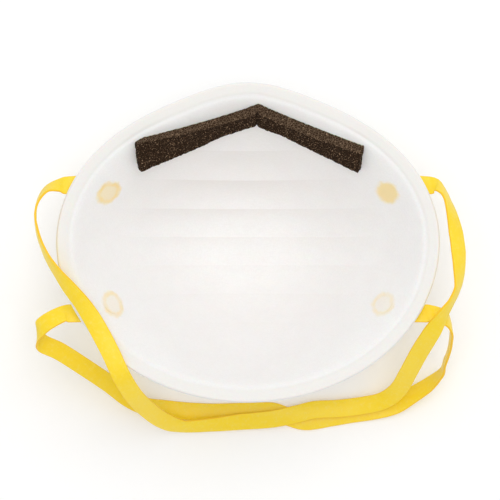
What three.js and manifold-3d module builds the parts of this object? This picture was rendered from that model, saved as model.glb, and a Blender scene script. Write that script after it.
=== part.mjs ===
// Disposable dust mask: a moulded cup of three webs, a nose clip, a nose foam and two welded straps.
// Millimetres. The mask lies on its front with the open side up: +Z points at the wearer,
// +Y is the nose side and +X is the wearer's left.
import * as THREE from 'three';
import { mergeVertices } from 'three/addons/utils/BufferGeometryUtils.js';
import Module from 'manifold-3d';

const wasm = await Module();
wasm.setup();

// ---- driving dimensions ----
const HALF_WIDTH = 67.5; // cheek to cheek, half
const CHIN_REACH = 56.4; // centre to the chin edge
const NOSE_REACH = 56.4; // centre to the nose edge
const NOSE_PEAK = 3.9; // how far the nose bridge stands out of the round outline
const NOSE_PEAK_SPREAD = 22; // sideways reach of that peak
const CUP_DEPTH = 45; // front panel to the edge of the outer web
const FLANGE_WIDTH = 4.5; // pressed band round the edge
const FLANGE_DROP = 1.0; // the band falls this much towards the cup
const PANEL_SHARE = 0.22; // flat front panel, as a share of the cup inside the band
const WALL_SLOPE = 1.1; // mean slope of the wall at the band, against a straight cone
const WALL_SLOPE_SWING = 0.55; // steeper at nose, cheeks and chin, shallower between them

const COVER_WEB = 0.5; // outer spunbond cover
const FILTER_WEB = 0.8; // melt-blown filter
const SHELL_WEB = 0.8; // moulded inner shell
const LAYER_GAP = 0.3; // clearance between pieces that touch
const FACET_ALLOWANCE = 0.15; // more where a bent strip lies on the faceted cup

const WELD_RADIUS = 4.2; // fused spot through the webs
const UPPER_WELD_ANGLE = 25.5; // degrees of outline angle above the cheek line
const LOWER_WELD_ANGLE = -29.3; // below the cheek line
const WELD_INSET = 10.7; // weld centre from the edge, in plan
const WELD_SIDES = 20;
const HOLE_PROUD = 4; // a weld hole's cutter stands this far out of the webs

const STRAP_WIDTH = 6.5;
const STRAP_THICKNESS = 0.8;
const STRAP_TAIL = 5.5; // strap past the weld centre, down the wall
const UPPER_EXIT_ANGLE = 21.2; // where the straps pass under the edge
const LOWER_EXIT_ANGLE = -24.9;
const EXIT_OVERHANG = 3.5; // strap end piece reaches this far past the edge
const EXIT_BELOW_EDGE = 2.0; // and lies this far below it
const TAB_LEAD = 1.5; // last straight run of an end piece
const TAB_LEAD_DROP = 0.15;
const LOOP_LEAD = 1; // first straight run of a loop
const LOOP_LEAD_RISE = 0.1;

const ADHESIVE_FILM = 0.25;
const FOAM_LENGTH = 92;
const FOAM_WIDTH = 11;
const FOAM_THICKNESS = 2.8;
const FOAM_BELOW_BAND = 0.9; // from the pressed band to the foam, in plan
const FOAM_SKEW = 0.5; // hand placed: the foam sits lower on one side
const FOAM_BOW = 1.6; // each half runs straight, so its middle lies further from the edge
const CLIP_LENGTH = 88;
const CLIP_WIDTH = 5;
const CLIP_THICKNESS = 0.8;
const CLIP_BELOW_BAND = 3.5;

const CUP_STEPS_ROUND = 48;
const CUP_STATIONS = [1, 0.9, 0.78, 0.64, 0.5, 0.35, 0.18, 0]; // down the wall
const STRIP_STEPS = 22;
const STRAP_STEPS = 70;
const TAB_STEPS = 9;

// layer faces, measured inwards from the outer face of the mask
const COVER_FACES = [0, COVER_WEB];
const FILTER_FACES = [COVER_FACES[1] + LAYER_GAP, COVER_FACES[1] + LAYER_GAP + FILTER_WEB];
const SHELL_FACES = [FILTER_FACES[1] + LAYER_GAP, FILTER_FACES[1] + LAYER_GAP + SHELL_WEB];

const NOSE = Math.PI / 2;
const degrees = THREE.MathUtils.degToRad;

// ---- the shape of the cup ----

// point of the mask's edge, seen from the wearer's side, at an outline angle
function edgePoint(angle) {
  const x = HALF_WIDTH * Math.cos(angle);
  const rise = Math.sin(angle);
  if (rise < 0) return new THREE.Vector2(x, CHIN_REACH * rise);
  const peak = NOSE_PEAK * Math.exp(-((x / NOSE_PEAK_SPREAD) ** 2));
  return new THREE.Vector2(x, (NOSE_REACH - NOSE_PEAK) * rise + peak);
}

// point of the outer face at an outline angle and a distance in from the edge, in plan
function outerFace(angle, inset) {
  const edge = edgePoint(angle);
  const reach = edge.length();
  const share = Math.max(0, 1 - inset / reach);
  const cupHeight = CUP_DEPTH - FLANGE_DROP;
  let z = CUP_DEPTH - (FLANGE_DROP * inset) / FLANGE_WIDTH;
  if (inset > FLANGE_WIDTH) {
    const inCup = (reach - inset) / (reach - FLANGE_WIDTH);
    const climb = Math.max(0, (inCup - PANEL_SHARE) / (1 - PANEL_SHARE));
    const bowl = climb ** 2 * (3 - WALL_SLOPE + (WALL_SLOPE - 2) * climb);
    const swing = WALL_SLOPE_SWING * Math.cos(4 * (angle - NOSE));
    z = cupHeight * (bowl + swing * climb ** 4 * (climb - 1));
  }
  return new THREE.Vector3(edge.x * share, edge.y * share, z);
}

// the face's normal, pointing to the wearer's side
function innerNormal(angle, inset) {
  const step = 0.25;
  const turn = 0.004;
  const along = outerFace(angle, inset - step).sub(outerFace(angle, inset + step));
  const around = outerFace(angle + turn, inset).sub(outerFace(angle - turn, inset));
  return along.cross(around).normalize();
}

// point at a depth inside the outer face; a negative depth lies outside the mask
function cupPoint(angle, inset, depth) {
  const reach = edgePoint(angle).length();
  if (inset >= reach) return new THREE.Vector3(0, 0, depth);
  return outerFace(angle, inset).addScaledVector(innerNormal(angle, inset), depth);
}

// inset of a station of the cup's wall: 1 at the pressed band, 0 at the flat panel
function stationInset(angle, station) {
  const reach = edgePoint(angle).length();
  const inCup = PANEL_SHARE + station * (1 - PANEL_SHARE);
  return reach - inCup * (reach - FLANGE_WIDTH);
}

// inset reached after walking a length down the wall from a starting inset
function insetDownWall(angle, fromInset, length, depth) {
  const stride = 0.25;
  let inset = fromInset;
  let walked = 0;
  let here = cupPoint(angle, inset, depth);
  while (walked < length) {
    const next = cupPoint(angle, inset + stride, depth);
    const part = next.distanceTo(here);
    if (walked + part > length) return inset + (stride * (length - walked)) / part;
    walked += part;
    inset += stride;
    here = next;
  }
  return inset;
}

// outline angle reached after walking a length round the cup from the nose
function angleFromNose(length, inset, depth) {
  const turn = 0.005;
  const sign = Math.sign(length);
  let angle = NOSE;
  let walked = 0;
  while (walked < Math.abs(length)) {
    const next = angle - sign * turn;
    walked += cupPoint(next, inset, depth).distanceTo(cupPoint(angle, inset, depth));
    angle = next;
  }
  return angle;
}

// ---- closed bodies ----

// merge shared corners and drop the flat triangles that poles and seams leave
function closedBody(geometry) {
  geometry.deleteAttribute('normal');
  geometry.deleteAttribute('uv');
  const merged = mergeVertices(geometry, 1e-4);
  const corners = merged.index.array;
  const kept = [];
  for (let i = 0; i < corners.length; i += 3) {
    const [a, b, c] = [corners[i], corners[i + 1], corners[i + 2]];
    if (a !== b && b !== c && c !== a) kept.push(a, b, c);
  }
  merged.setIndex(kept);
  return merged;
}

function toManifold(geometry) {
  const body = closedBody(geometry);
  return new wasm.Manifold(
    new wasm.Mesh({
      numProp: 3,
      vertProperties: new Float32Array(body.attributes.position.array),
      triVerts: new Uint32Array(body.index.array),
    })
  );
}

function toGeometry(solid) {
  const mesh = solid.getMesh();
  const geometry = new THREE.BufferGeometry();
  geometry.setAttribute('position', new THREE.BufferAttribute(mesh.vertProperties, 3));
  geometry.setIndex(new THREE.BufferAttribute(mesh.triVerts, 1));
  geometry.computeVertexNormals();
  return geometry;
}

// a body wrapped round a row of rings, each with the same number of points; past the turning
// ring the faces are split along their other diagonal, so both sides of a web match
function ringBody(rings, turningRing = rings.length) {
  const count = rings[0].length;
  const triangles = [];
  for (let ring = 0; ring < rings.length - 1; ring += 1) {
    for (let i = 0; i < count; i += 1) {
      const next = (i + 1) % count;
      const [a, b] = [ring * count + i, ring * count + next];
      const [c, d] = [b + count, a + count];
      if (ring < turningRing) triangles.push(a, b, d, b, c, d);
      else triangles.push(a, b, c, a, c, d);
    }
  }
  const geometry = new THREE.BufferGeometry().setFromPoints(rings.flat());
  geometry.setIndex(triangles);
  return geometry;
}

// one web of the cup: out along its outer face from the centre, over the edge and back inside
function webBody([outside, inside]) {
  const angles = Array.from({ length: CUP_STEPS_ROUND }, (_, i) => (i / CUP_STEPS_ROUND) * 2 * Math.PI);
  const face = (depth) => [
    angles.map(() => new THREE.Vector3(0, 0, depth)),
    ...CUP_STATIONS.map((station) =>
      angles.map((angle) => cupPoint(angle, stationInset(angle, station), depth))
    ).reverse(),
    angles.map((angle) => cupPoint(angle, 0, depth)),
  ];
  const outer = face(outside);
  return ringBody([...outer, ...face(inside).reverse()], outer.length);
}

// a flat ribbon along a route: each stop has a place and the direction of its left edge
function ribbonBody(stops, width, thickness, steps) {
  const route = new THREE.CatmullRomCurve3(stops.map((stop) => stop.at), false, 'centripetal');
  const edges = new THREE.CatmullRomCurve3(stops.map((stop) => stop.edge), false, 'centripetal');
  const shares = stopShares(route, stops.length);
  const corners = [[1, 1], [-1, 1], [-1, -1], [1, -1]];
  const section = (along, scale) => {
    const forward = route.getTangentAt(along);
    const side = edges.getPoint(stopAt(shares, along));
    side.addScaledVector(forward, -side.dot(forward)).normalize();
    const face = new THREE.Vector3().crossVectors(forward, side);
    return corners.map(([w, t]) =>
      route
        .getPointAt(along)
        .addScaledVector(side, (scale * w * width) / 2)
        .addScaledVector(face, (scale * t * thickness) / 2)
    );
  };
  const rings = [section(0, 0)];
  for (let step = 0; step <= steps; step += 1) rings.push(section(step / steps, 1));
  rings.push(section(1, 0));
  return ringBody(rings);
}

// share of the route's length at which each stop lies
function stopShares(route, count) {
  const partsEach = 20;
  route.arcLengthDivisions = partsEach * (count - 1);
  const lengths = route.getLengths();
  const total = lengths[lengths.length - 1];
  return Array.from({ length: count }, (_, i) => lengths[i * partsEach] / total);
}

// position between the stops, from 0 to 1, at a share of the route's length
function stopAt(shares, along) {
  const last = shares.length - 1;
  let i = 0;
  while (i < last - 1 && shares[i + 1] < along) i += 1;
  return (i + (along - shares[i]) / (shares[i + 1] - shares[i])) / last;
}

// a strip laid round the nose on a face of the cup, bent from a flat block
function noseStrip({ length, width, inset, skew, bow, depth, thickness, stepsAcross }) {
  const left = angleFromNose(-length / 2, inset, depth);
  const right = angleFromNose(length / 2, inset, depth);
  const block = new THREE.BoxGeometry(1, 1, 1, STRIP_STEPS, stepsAcross, 1);
  const corner = new THREE.Vector3();
  const places = block.attributes.position;
  for (let i = 0; i < places.count; i += 1) {
    corner.fromBufferAttribute(places, i);
    const angle = THREE.MathUtils.lerp(left, right, corner.x + 0.5);
    const sag = bow * Math.sin(2 * Math.PI * Math.abs(corner.x));
    const from = inset + 2 * corner.x * skew + sag;
    const down = insetDownWall(angle, from, width * (0.5 - corner.y), depth);
    const at = cupPoint(angle, down, depth + thickness * (corner.z + 0.5));
    places.setXYZ(i, at.x, at.y, at.z);
  }
  return block;
}

// ---- welds ----

// mirrored to the left cheek when side is -1
function cheekAngle(angleDegrees, side) {
  return side > 0 ? degrees(angleDegrees) : Math.PI - degrees(angleDegrees);
}

// a round bar through the wall at a weld, between two depths
function weldMesh(angleDegrees, side, radius, fromDepth, toDepth) {
  const angle = cheekAngle(angleDegrees, side);
  const bar = new THREE.CylinderGeometry(radius, radius, toDepth - fromDepth, WELD_SIDES);
  const mesh = new THREE.Mesh(bar);
  const normal = innerNormal(angle, WELD_INSET);
  mesh.position.copy(cupPoint(angle, WELD_INSET, (fromDepth + toDepth) / 2));
  mesh.quaternion.setFromUnitVectors(new THREE.Vector3(0, 1, 0), normal);
  return mesh;
}

const WELDS = [
  { name: 'weld_upper_left', angle: UPPER_WELD_ANGLE, side: -1 },
  { name: 'weld_upper_right', angle: UPPER_WELD_ANGLE, side: 1 },
  { name: 'weld_lower_left', angle: LOWER_WELD_ANGLE, side: -1 },
  { name: 'weld_lower_right', angle: LOWER_WELD_ANGLE, side: 1 },
];

function cutWeldHoles(geometry) {
  let solid = toManifold(geometry);
  for (const weld of WELDS) {
    const radius = WELD_RADIUS + LAYER_GAP;
    const from = COVER_FACES[0] - HOLE_PROUD;
    const to = SHELL_FACES[1] + HOLE_PROUD;
    const bar = weldMesh(weld.angle, weld.side, radius, from, to);
    bar.updateMatrixWorld(true);
    solid = solid.subtract(toManifold(bar.geometry.clone().applyMatrix4(bar.matrixWorld)));
  }
  return toGeometry(solid);
}

// ---- straps ----

const TOWARDS_CHIN = new THREE.Vector3(0, -1, 0);
// direction of each strap's chin-side edge where it passes under the mask's edge
const UPPER_EXIT_EDGE = new THREE.Vector3(0, -0.7, 0.7).normalize();
const LOWER_EXIT_EDGE = new THREE.Vector3(0, -0.85, 0.5).normalize();

// where a strap's end piece stops, just past the edge
function strapExit(angleDegrees, side) {
  const edge = edgePoint(degrees(angleDegrees));
  const reach = edge.length();
  const out = edge.multiplyScalar((reach + EXIT_OVERHANG) / reach);
  return new THREE.Vector3(side * out.x, out.y, CUP_DEPTH - EXIT_BELOW_EDGE);
}

// the end piece: up the outside of the wall, over the weld and out under the edge
function strapTab(weldAngle, exitAngle, exitEdge, side) {
  const depth = -LAYER_GAP - FACET_ALLOWANCE - STRAP_THICKNESS / 2;
  const exit = strapExit(exitAngle, side);
  const tail = WELD_INSET + STRAP_TAIL;
  const rise = WELD_INSET - STRAP_TAIL / 2;
  const onWall = [tail, (tail + WELD_INSET) / 2, WELD_INSET, rise];
  const stops = onWall.map((inset) => {
    const angle = cheekAngle(weldAngle, side);
    const edge = TOWARDS_CHIN.clone().projectOnPlane(innerNormal(angle, inset)).normalize();
    return { at: cupPoint(angle, inset, depth), edge };
  });
  const lead = new THREE.Vector3(-side * TAB_LEAD, 0, -TAB_LEAD_DROP);
  const leadEdge = TOWARDS_CHIN.clone().add(exitEdge).normalize();
  stops.push({ at: exit.clone().add(lead), edge: leadEdge });
  stops.push({ at: exit, edge: exitEdge });
  return ribbonBody(stops, STRAP_WIDTH, STRAP_THICKNESS, TAB_STEPS);
}

// the free loop between two exits; each stop is x, y, z and the direction of its left edge
function strapLoop(exitAngle, exitEdge, middleStops) {
  const start = strapExit(exitAngle, -1).add(new THREE.Vector3(-LAYER_GAP, 0, 0));
  const end = strapExit(exitAngle, 1).add(new THREE.Vector3(LAYER_GAP, 0, 0));
  const stops = [
    { at: start, edge: exitEdge },
    { at: start.clone().add(new THREE.Vector3(-LOOP_LEAD, 0, LOOP_LEAD_RISE)), edge: exitEdge },
    ...middleStops.map(([x, y, z, i, j, k]) => ({
      at: new THREE.Vector3(x, y, z),
      edge: new THREE.Vector3(i, j, k).normalize(),
    })),
    { at: end.clone().add(new THREE.Vector3(LOOP_LEAD, 0, LOOP_LEAD_RISE)), edge: exitEdge },
    { at: end, edge: exitEdge },
  ];
  return ribbonBody(stops, STRAP_WIDTH, STRAP_THICKNESS, STRAP_STEPS);
}

// head strap: over the left edge of the cup, down to the surface at the chin, up the right side
const UPPER_ROUTE = [
  [-70.8, 18.6, 43.8, 0.2, -0.25, 0.95],
  [-73.8, 14.2, 44.6, 0.1, -0.1, 1],
  [-74.6, 9.2, 45.6, 0.05, 0, 1],
  [-73.9, 4.2, 46.6, 0.15, 0.05, 1],
  [-72.1, -1.2, 47.8, 0.3, 0.1, 0.95],
  [-69.7, -6.0, 49.2, 0.4, 0.25, 0.9],
  [-66.2, -11.0, 50.4, 0.5, 0.37, 0.78],
  [-62.4, -15.8, 50.6, 0.68, 0.5, 0.52],
  [-58.0, -21.2, 50.2, 0.75, 0.55, 0.33],
  [-54.2, -27.0, 49.8, 0.84, 0.5, 0.2],
  [-51.0, -32.8, 49.2, 0.87, 0.5, 0],
  [-47.8, -39.0, 49.4, 0.88, 0.45, 0],
  [-44.6, -46.2, 47.8, 0.87, 0.5, 0],
  [-40.8, -53.6, 39.0, 0.8, 0.6, 0.05],
  [-36.5, -59.4, 26.5, 0.6, 0.75, 0.3],
  [-30.8, -64.6, 13.5, 0.35, 0.8, 0.5],
  [-24.6, -67.2, 6.0, 0.1, 0.65, 0.75],
  [-12.9, -66.8, 3.6, 0, 0.75, 0.6],
  [-3.3, -65.9, 2.5, 0, 0.9, 0.4],
  [9.2, -64.8, 2.1, 0, 1, 0.2],
  [18.0, -63.0, 2.1, 0.1, 1, 0],
  [24.3, -61.5, 2.1, 0.1, 1, -0.1],
  [33.1, -61.0, 2.1, 0, 1, -0.1],
  [42.2, -59.8, 3.0, -0.1, 1, 0],
  [49.2, -58.0, 5.5, -0.3, 1, 0.2],
  [54.4, -53.6, 12.5, -0.65, 0.7, 0.35],
  [57.6, -46.8, 23.0, -0.8, 0.5, 0.3],
  [60.9, -39.0, 34.0, -0.85, 0.45, 0.2],
  [64.6, -31.6, 44.0, -0.78, 0.45, 0.35],
  [68.0, -25.4, 48.0, -0.5, 0.3, 0.8],
  [71.1, -20.8, 48.6, -0.32, 0.18, 0.93],
  [73.2, -16.2, 48.2, -0.34, 0.09, 0.93],
  [73.9, -10.4, 47.2, -0.62, 0.03, 0.78],
  [73.8, -3.4, 46.2, -0.8, 0, 0.6],
  [72.9, 3.6, 45.4, -0.77, -0.13, 0.62],
  [71.5, 10.4, 44.6, -0.54, -0.12, 0.83],
  [70.2, 14.6, 43.9, -0.33, -0.11, 0.94],
  [68.9, 17.4, 43.3, -0.2, -0.3, 0.93],
];

// neck strap: a soft fold at the left, under the head strap along the chin, up and in at the right
const LOWER_ROUTE = [
  [-70.6, -28.0, 42.6, 0.25, -0.9, 0.35],
  [-73.6, -30.6, 40.4, 0.1, -1, 0],
  [-74.4, -33.2, 36.8, 0, -1, 0],
  [-73.2, -35.8, 33.2, -0.2, -1, 0],
  [-67.6, -38.8, 28.6, -0.5, -0.85, 0],
  [-58.6, -45.2, 20.4, -0.58, -0.8, 0],
  [-50.0, -51.8, 11.6, -0.58, -0.8, 0],
  [-43.6, -57.2, 5.6, -0.5, -0.85, 0],
  [-37.6, -60.2, 2.2, -0.35, -0.9, 0],
  [-30.6, -61.2, 0.9, -0.1, -1, 0],
  [-22.1, -62.1, 0.6, 0, -1, 0],
  [-12.9, -62.5, 0.6, 0, -1, 0],
  [0.4, -62.2, 0.6, 0, -1, 0],
  [9.4, -62.2, 0.6, -0.2, -1, 0],
  [15.4, -64.4, 0.6, -0.35, -0.95, 0],
  [21.0, -65.8, 0.6, 0, -1, 0],
  [30.6, -64.4, 0.6, 0.15, -1, 0],
  [37.6, -63.2, 0.6, 0.15, -1, 0],
  [46.8, -61.8, 0.9, 0.2, -1, 0.1],
  [54.2, -59.8, 1.9, 0.35, -0.9, 0.25],
  [60.2, -56.0, 4.2, 0.5, -0.75, 0.5],
  [66.4, -51.6, 8.0, 0.4, -0.5, 0.8],
  [70.2, -47.6, 12.4, 0.1, -0.2, 1],
  [71.4, -42.8, 18.4, 0, 0, 1],
  [72.2, -38.2, 25.0, 0, 0, 1],
  [72.4, -34.2, 31.0, 0, -0.2, 1],
  [72.0, -30.4, 36.6, 0, -0.5, 0.9],
  [69.8, -26.8, 40.6, 0, -0.85, 0.5],
];

// ---- the parts ----

const mask = new THREE.Group();

function add(name, geometry, colour, roughness, metalness = 0) {
  const material = new THREE.MeshStandardMaterial({ color: colour, roughness, metalness });
  const mesh = new THREE.Mesh(geometry, material);
  mesh.name = name;
  mask.add(mesh);
  return mesh;
}

add('outer_cover', cutWeldHoles(webBody(COVER_FACES)), 0xf6f4f1, 0.9);
add('filter_media', cutWeldHoles(webBody(FILTER_FACES)), 0xf2f2f0, 0.95);
add('inner_shell', cutWeldHoles(webBody(SHELL_FACES)), 0xf3f0ed, 0.85);

const FOAM_FILM_DEPTH = SHELL_FACES[1] + LAYER_GAP + FACET_ALLOWANCE;
const FOAM_PLAN = {
  length: FOAM_LENGTH,
  width: FOAM_WIDTH,
  inset: FLANGE_WIDTH + FOAM_BELOW_BAND,
  skew: FOAM_SKEW,
  bow: FOAM_BOW,
};
const foamFilm = noseStrip({
  ...FOAM_PLAN,
  depth: FOAM_FILM_DEPTH,
  thickness: ADHESIVE_FILM,
  stepsAcross: 3,
});
const foam = noseStrip({
  ...FOAM_PLAN,
  depth: FOAM_FILM_DEPTH + ADHESIVE_FILM + LAYER_GAP,
  thickness: FOAM_THICKNESS,
  stepsAcross: 3,
});
add('nose_foam_adhesive', toGeometry(toManifold(foamFilm)), 0xd9cdb4, 0.5);
add('nose_foam', toGeometry(toManifold(foam)), 0x3a2a20, 0.95);

const CLIP_FILM_DEPTH = -LAYER_GAP - ADHESIVE_FILM;
const CLIP_PLAN = {
  length: CLIP_LENGTH,
  width: CLIP_WIDTH,
  inset: FLANGE_WIDTH + CLIP_BELOW_BAND,
  skew: 0,
  bow: 0,
};
const clipFilm = noseStrip({
  ...CLIP_PLAN,
  depth: CLIP_FILM_DEPTH,
  thickness: ADHESIVE_FILM,
  stepsAcross: 1,
});
const clip = noseStrip({
  ...CLIP_PLAN,
  depth: CLIP_FILM_DEPTH - LAYER_GAP - CLIP_THICKNESS,
  thickness: CLIP_THICKNESS,
  stepsAcross: 1,
});
add('nose_clip_adhesive', toGeometry(toManifold(clipFilm)), 0xd9cdb4, 0.5);
add('nose_clip', toGeometry(toManifold(clip)), 0xb9bcc0, 0.35, 1);

for (const { name, angle, side } of WELDS) {
  const bar = weldMesh(angle, side, WELD_RADIUS, COVER_FACES[0], SHELL_FACES[1]);
  const weld = add(name, bar.geometry, 0xfae4a5, 0.35);
  weld.position.copy(bar.position);
  weld.quaternion.copy(bar.quaternion);
}

const STRAP_COLOUR = 0xfec70a;
const STRAP_ROUGHNESS = 0.45;
for (const [cheek, side] of [['left', -1], ['right', 1]]) {
  const upper = strapTab(UPPER_WELD_ANGLE, UPPER_EXIT_ANGLE, UPPER_EXIT_EDGE, side);
  const lower = strapTab(LOWER_WELD_ANGLE, LOWER_EXIT_ANGLE, LOWER_EXIT_EDGE, side);
  add(`upper_strap_end_${cheek}`, toGeometry(toManifold(upper)), STRAP_COLOUR, STRAP_ROUGHNESS);
  add(`lower_strap_end_${cheek}`, toGeometry(toManifold(lower)), STRAP_COLOUR, STRAP_ROUGHNESS);
}
const upperLoop = toManifold(strapLoop(UPPER_EXIT_ANGLE, UPPER_EXIT_EDGE, UPPER_ROUTE));
const lowerLoop = toManifold(strapLoop(LOWER_EXIT_ANGLE, LOWER_EXIT_EDGE, LOWER_ROUTE));
add('upper_strap', toGeometry(upperLoop), STRAP_COLOUR, STRAP_ROUGHNESS);
add('lower_strap', toGeometry(lowerLoop), STRAP_COLOUR, STRAP_ROUGHNESS);

export default mask;
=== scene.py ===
# %% [markdown]
# # A disposable dust mask, lying on its front with the open side up
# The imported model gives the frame: how wide the cup is, where its front panel rests and how the two
# straps swing. This lesson builds the visible mask round that frame: three nonwoven webs, a foam
# nose strip, an aluminium clip, four welds and two elastic bands.

# %% Load the fixed frame
import math

import bmesh
import bpy
import numpy as np
from mathutils import Matrix, Vector, noise


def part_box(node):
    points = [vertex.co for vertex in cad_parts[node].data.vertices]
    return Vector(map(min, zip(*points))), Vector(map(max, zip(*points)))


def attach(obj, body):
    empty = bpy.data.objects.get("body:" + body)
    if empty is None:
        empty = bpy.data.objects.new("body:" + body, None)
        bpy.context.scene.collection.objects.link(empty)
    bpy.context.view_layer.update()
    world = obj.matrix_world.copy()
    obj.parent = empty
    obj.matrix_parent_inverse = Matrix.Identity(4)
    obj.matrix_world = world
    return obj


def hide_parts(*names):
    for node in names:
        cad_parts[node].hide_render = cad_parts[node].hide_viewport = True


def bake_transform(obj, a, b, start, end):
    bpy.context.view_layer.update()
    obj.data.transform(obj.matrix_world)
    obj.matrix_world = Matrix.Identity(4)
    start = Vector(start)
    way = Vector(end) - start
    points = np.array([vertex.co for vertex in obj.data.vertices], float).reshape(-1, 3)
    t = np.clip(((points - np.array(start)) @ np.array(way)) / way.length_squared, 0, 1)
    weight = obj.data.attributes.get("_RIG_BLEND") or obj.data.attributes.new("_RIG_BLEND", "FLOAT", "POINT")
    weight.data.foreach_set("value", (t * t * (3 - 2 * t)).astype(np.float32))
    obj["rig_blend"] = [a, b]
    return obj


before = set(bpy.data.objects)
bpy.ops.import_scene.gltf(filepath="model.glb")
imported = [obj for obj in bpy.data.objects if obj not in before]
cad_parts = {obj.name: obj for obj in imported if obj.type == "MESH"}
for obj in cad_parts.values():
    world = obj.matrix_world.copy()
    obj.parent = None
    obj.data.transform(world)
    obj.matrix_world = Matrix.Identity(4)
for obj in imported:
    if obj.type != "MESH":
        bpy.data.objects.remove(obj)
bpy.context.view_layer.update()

MM = 0.001

# %% [markdown]
# ## Camera
# The mask is seen straight into its open side, so the camera looks down the Z axis with the nose at
# the top. A long lens from nearly a metre away keeps the cup's edge and the floor at almost one scale.

# %% Place the camera
EDGE_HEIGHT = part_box("inner_shell")[1].z
CAMERA_DISTANCE = 0.900          # from the plane of the mask's edge
FRAME_WIDTH = 0.175              # what the picture takes in, at that plane
AIM = Vector((0.0007, -0.0027, 0))

camera = bpy.data.objects.new("camera", bpy.data.cameras.new("camera"))
bpy.context.scene.collection.objects.link(camera)
camera.location = AIM + Vector((0, 0, EDGE_HEIGHT + CAMERA_DISTANCE))
camera.data.lens = camera.data.sensor_width * CAMERA_DISTANCE / FRAME_WIDTH
bpy.context.scene.camera = camera
print("lens", round(camera.data.lens, 1), "mm")

# %% [markdown]
# ## The form of the cup
# Every piece of the mask follows one moulded form, so that form is a function. An outline angle says
# where on the edge we are, an inset says how far in from the edge, and a depth says how far through
# the wall. The strap ends, the clip and the foam ask the same function where the wall is.

# %% Describe the moulded form
HALF_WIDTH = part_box("outer_cover")[1].x
CHIN_REACH = -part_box("outer_cover")[0].y
NOSE_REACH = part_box("outer_cover")[1].y
NOSE_PEAK = 3.9 * MM
NOSE_PEAK_SPREAD = 22 * MM
CUP_DEPTH = 45 * MM
BAND_WIDTH = 4.5 * MM            # the pressed band round the edge
BAND_DROP = 1.0 * MM
PANEL_SHARE = 0.22
WALL_SLOPE = 1.1
WALL_SLOPE_SWING = 0.55
NOSE = math.pi / 2


def edge_point(angle):
    """Plan position of the mask's edge at an outline angle."""
    x = HALF_WIDTH * np.cos(angle)
    rise = np.sin(angle)
    peak = NOSE_PEAK * np.exp(-((x / NOSE_PEAK_SPREAD) ** 2))
    y = np.where(rise < 0, CHIN_REACH * rise, (NOSE_REACH - NOSE_PEAK) * rise + peak)
    return np.stack([x, y], -1)


def outer_face(angle, inset):
    """Point of the outer face at an angle and a distance in from the edge."""
    edge = edge_point(angle)
    reach = np.linalg.norm(edge, axis=-1)
    share = np.maximum(0, 1 - inset / reach)
    band = CUP_DEPTH - BAND_DROP * inset / BAND_WIDTH
    in_cup = (reach - inset) / (reach - BAND_WIDTH)
    climb = np.clip((in_cup - PANEL_SHARE) / (1 - PANEL_SHARE), 0, 1)
    bowl = climb**2 * (3 - WALL_SLOPE + (WALL_SLOPE - 2) * climb)
    swing = WALL_SLOPE_SWING * np.cos(4 * (angle - NOSE))
    wall = (CUP_DEPTH - BAND_DROP) * (bowl + swing * climb**4 * (climb - 1))
    z = np.where(inset > BAND_WIDTH, wall, band)
    return np.stack([edge[..., 0] * share, edge[..., 1] * share, z], -1)


def inner_normal(angle, inset):
    """Unit normal of the wall, pointing to the wearer."""
    step, turn = 0.25 * MM, 0.004
    along = outer_face(angle, inset - step) - outer_face(angle, inset + step)
    around = outer_face(angle + turn, inset) - outer_face(angle - turn, inset)
    normal = np.cross(along, around)
    return normal / np.linalg.norm(normal, axis=-1, keepdims=True)


def cup_point(angle, inset, depth):
    """Point at a depth inside the outer face; a negative depth lies outside the mask."""
    angle, inset = np.asarray(angle, float), np.asarray(inset, float)
    return outer_face(angle, inset) + inner_normal(angle, inset) * np.asarray(depth)[..., None]


def outline_of(x, y):
    """Outline angle and inset of plan positions: the way back from a place to the form."""
    angles = np.linspace(-math.pi, math.pi, 1441)
    edge = edge_point(angles)
    bearings = np.unwrap(np.arctan2(edge[:, 1], edge[:, 0]))
    angle = np.interp(np.arctan2(y, x), bearings, angles)
    reach = np.linalg.norm(edge_point(angle), axis=-1)
    return angle, reach - np.hypot(x, y)


print("edge", round(2000 * HALF_WIDTH, 1), "x", round(1000 * (CHIN_REACH + NOSE_REACH), 1), "mm")

# %% [markdown]
# ## Elastic bands: the route
# Each strap is a flat elastomer band, welded at both ends to the outside of the cup. The head strap
# lies over the left edge of the cup and comes down to the surface at the chin; the neck strap folds
# back on itself at the left and runs under it. A band is a row of stops: a place, and the direction
# of its left edge, which turns the band flat or on edge. A smooth curve runs through the stops.

# %% Lay out the two routes
STRAP_WIDTH = 6.5 * MM
STRAP_THICKNESS = 0.8 * MM
TAB_DEPTH = -0.45 * MM - STRAP_THICKNESS / 2
TAB_TAIL = 5.5 * MM
WELD_INSET = 10.7 * MM
EXIT_OVERHANG = 3.5 * MM
EXIT_BELOW_EDGE = 2.0 * MM
HEAD_ANGLES = (math.radians(25.5), math.radians(21.2))    # weld, exit
NECK_ANGLES = (math.radians(-29.3), math.radians(-24.9))

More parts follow.
